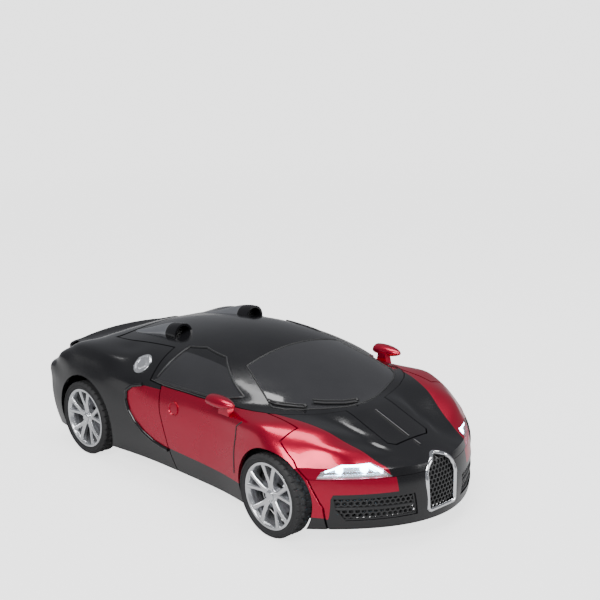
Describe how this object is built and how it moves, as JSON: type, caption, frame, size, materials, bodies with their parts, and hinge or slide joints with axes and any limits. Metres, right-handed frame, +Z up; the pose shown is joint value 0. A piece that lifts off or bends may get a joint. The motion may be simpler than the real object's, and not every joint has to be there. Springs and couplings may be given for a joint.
{
  "type": "transforming robot car",
  "caption": "Toy sports car whose cabin lifts on a geared hinge and stands up as a robot, with doors and front wheels sliding out as arms.",
  "frame": {"origin": "on the ground under the middle of the car's length and width, stored as a car", "axes": "+X to the car's nose, +Y to its left side, +Z up"},
  "size_m": [0.26, 0.1244, 0.076],
  "materials": {
    "red_gloss": "gloss",
    "black_gloss": "gloss",
    "black_plastic": "matte",
    "dark_silver": "satin",
    "silver_plastic": "satin metallic",
    "white_plastic": "satin",
    "gold_plastic": "satin metallic",
    "tinted_window": "gloss, smoked",
    "clear_lens": "clear",
    "red_lens": "gloss",
    "tyre_rubber": "matte",
    "steel_pin": "satin",
    "motor_steel": "satin",
    "battery_wrap": "gloss",
    "circuit_board": "satin"
  },
  "bodies": {
    "rear_base": {"chassis": "black_plastic", "rear_fender_left": "black_gloss", "rear_fender_right": "black_gloss", "rear_deck": "black_gloss", "tail_bumper": "black_gloss", "side_inserts": "red_gloss", "fuel_caps": "silver_plastic", "tail_lights": "red_lens", "battery_pack": "battery_wrap", "drive_motors": "motor_steel", "lift_gearbox": "black_plastic", "hinge_pin": "steel_pin"},
    "torso": {"roof_shell": "black_gloss", "windshield": "tinted_window", "side_windows": "tinted_window", "hood_flap": "black_gloss", "air_scoops": "silver_plastic", "torso_core": "black_plastic", "belly_armor": "red_gloss", "waist_plate": "silver_plastic", "knee_armor": "red_gloss", "knee_caps": "silver_plastic", "control_board": "circuit_board", "speaker": "black_plastic", "shoulder_tube": "steel_pin", "sector_gear": "white_plastic"},
    "head": {"helmet": "dark_silver", "face_plate": "gold_plastic"},
    "chest": {"hood": "black_gloss", "front_bumper": "red_gloss", "headlights": "clear_lens", "grille_ring": "black_gloss", "grille_meshes": "black_plastic", "chest_bracket": "black_plastic"},
    "foot": {"foot_plate": "black_plastic", "foot_toes": "white_plastic"},
    "switch": {"power_switch": "white_plastic"},
    "lift_pinion_body": {"lift_pinion": "white_plastic"},
    "left_arm": {"arm_panel_left": "red_gloss", "arm_sill_left": "black_gloss", "mirror_left": "red_gloss", "fist_box_left": "black_plastic", "arm_rod_left": "steel_pin"},
    "left_sleeve": {"arm_sleeve_left": "steel_pin"},
    "drive_pinion_left_body": {"drive_pinion_left": "white_plastic"},
    "wheel_front_left": {"tyre_front_left": "tyre_rubber", "rim_front_left": "silver_plastic"},
    "wheel_rear_left": {"tyre_rear_left": "tyre_rubber", "rim_rear_left": "silver_plastic"},
    "right_arm": {"arm_panel_right": "red_gloss", "arm_sill_right": "black_gloss", "mirror_right": "red_gloss", "fist_box_right": "black_plastic", "arm_rod_right": "steel_pin"},
    "right_sleeve": {"arm_sleeve_right": "steel_pin"},
    "drive_pinion_right_body": {"drive_pinion_right": "white_plastic"},
    "wheel_front_right": {"tyre_front_right": "tyre_rubber", "rim_front_right": "silver_plastic"},
    "wheel_rear_right": {"tyre_rear_right": "tyre_rubber", "rim_rear_right": "silver_plastic"}
  },
  "joints": [
    {"name": "torso_rise", "type": "hinge", "parent": "rear_base", "child": "torso", "pos_m": [-0.07, 0, 0.06], "axis": [0, -1, 0], "range_deg": [0, 90]},
    {"name": "chest_level", "type": "hinge", "parent": "torso", "child": "chest", "pos_m": [0.076, 0, 0.044], "axis": [0, -1, 0], "range_deg": [-90, 0]},
    {"name": "head_turn", "type": "hinge", "parent": "torso", "child": "head", "pos_m": [0.085, 0, 0.0305], "axis": [1, 0, 0], "range_deg": [-25, 25]},
    {"name": "foot_swing", "type": "hinge", "parent": "rear_base", "child": "foot", "pos_m": [-0.012, 0, 0.0075], "axis": [0, -1, 0], "range_deg": [0, 90]},
    {"name": "lift_pinion_spin", "type": "hinge", "parent": "rear_base", "child": "lift_pinion_body", "pos_m": [-0.06586, 0, 0.04455], "axis": [0, -1, 0], "range_deg": [-270, 0]},
    {"name": "power_slide", "type": "slide", "parent": "rear_base", "child": "switch", "axis": [1, 0, 0], "range_m": [0, 0.0035]},
    {"name": "left_arm_out", "type": "slide", "parent": "chest", "child": "left_arm", "axis": [0, 1, 0], "range_m": [0, 0.05]},
    {"name": "left_sleeve_out", "type": "slide", "parent": "chest", "child": "left_sleeve", "axis": [0, 1, 0], "range_m": [0, 0.025]},
    {"name": "wheel_front_left_spin", "type": "hinge", "parent": "left_arm", "child": "wheel_front_left", "pos_m": [0.075, 0.055, 0.0205], "axis": [0, 1, 0], "continuous": true},
    {"name": "wheel_rear_left_spin", "type": "hinge", "parent": "rear_base", "child": "wheel_rear_left", "pos_m": [-0.078, 0.055, 0.0205], "axis": [0, 1, 0], "continuous": true},
    {"name": "drive_pinion_left_spin", "type": "hinge", "parent": "rear_base", "child": "drive_pinion_left_body", "pos_m": [-0.088, 0.0237, 0.0205], "axis": [0, 1, 0], "continuous": true},
    {"name": "right_arm_out", "type": "slide", "parent": "chest", "child": "right_arm", "axis": [0, -1, 0], "range_m": [0, 0.05]},
    {"name": "right_sleeve_out", "type": "slide", "parent": "chest", "child": "right_sleeve", "axis": [0, -1, 0], "range_m": [0, 0.025]},
    {"name": "wheel_front_right_spin", "type": "hinge", "parent": "right_arm", "child": "wheel_front_right", "pos_m": [0.075, -0.055, 0.0205], "axis": [0, 1, 0], "continuous": true},
    {"name": "wheel_rear_right_spin", "type": "hinge", "parent": "rear_base", "child": "wheel_rear_right", "pos_m": [-0.078, -0.055, 0.0205], "axis": [0, 1, 0], "continuous": true},
    {"name": "drive_pinion_right_spin", "type": "hinge", "parent": "rear_base", "child": "drive_pinion_right_body", "pos_m": [-0.088, -0.0237, 0.0205], "axis": [0, 1, 0], "continuous": true}
  ],
  "couplings": [
    {"joint": "chest_level", "follows": "torso_rise", "ratio": -1},
    {"joint": "foot_swing", "follows": "torso_rise", "ratio": 1},
    {"joint": "lift_pinion_spin", "follows": "torso_rise", "ratio": -3},
    {"joint": "left_arm_out", "follows": "torso_rise", "m_per_rad": 0.03183},
    {"joint": "left_sleeve_out", "follows": "torso_rise", "m_per_rad": 0.015915},
    {"joint": "drive_pinion_left_spin", "follows": "wheel_rear_left_spin", "ratio": -3},
    {"joint": "right_arm_out", "follows": "torso_rise", "m_per_rad": 0.03183},
    {"joint": "right_sleeve_out", "follows": "torso_rise", "m_per_rad": 0.015915},
    {"joint": "drive_pinion_right_spin", "follows": "wheel_rear_right_spin", "ratio": -3}
  ]
}
